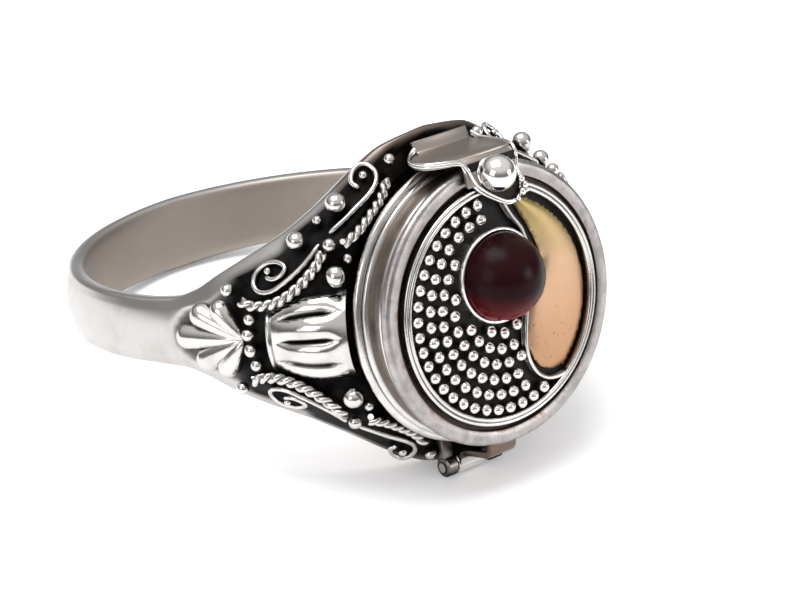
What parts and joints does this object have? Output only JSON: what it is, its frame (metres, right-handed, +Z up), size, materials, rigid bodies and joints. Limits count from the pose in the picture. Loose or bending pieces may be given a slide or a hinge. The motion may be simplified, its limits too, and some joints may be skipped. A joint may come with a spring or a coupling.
{
  "type": "poison ring",
  "caption": "Silver ring whose round box under a hinged lid hides a small hollow; the lid carries granules, a gold crescent and a domed red stone.",
  "frame": {"origin": "centre of the bounding box's bottom, on the surface that the ring lies on", "axes": "+X across the ring, +Y from the lid to the back of the band, +Z up; the ring lies on its side and the lid faces -Y"},
  "size_m": [0.0202, 0.0244, 0.0139],
  "materials": {
    "silver": "polished silver, blackened in the recesses",
    "silver_trim": "polished silver wire and balls on a blackened ground",
    "gold": "polished warm gold sheet",
    "garnet": "polished dark red cabochon",
    "pin": "dull silver wire"
  },
  "bodies": {
    "ring": {"ring_body": "silver", "rope_wires": "silver_trim", "scroll_wires": "silver_trim", "shoulder_beads": "silver_trim", "hinge_pin": "pin"},
    "lid": {"lid": "silver", "lid_granules": "silver_trim", "gold_crescent": "gold", "garnet": "garnet"}
  },
  "joints": [
    {"name": "lid_hinge", "type": "hinge", "parent": "ring", "child": "lid", "pos_m": [-0.0005, -0.00972, 0.00042], "axis": [1, 0, 0], "range_deg": [0, 110]}
  ]
}
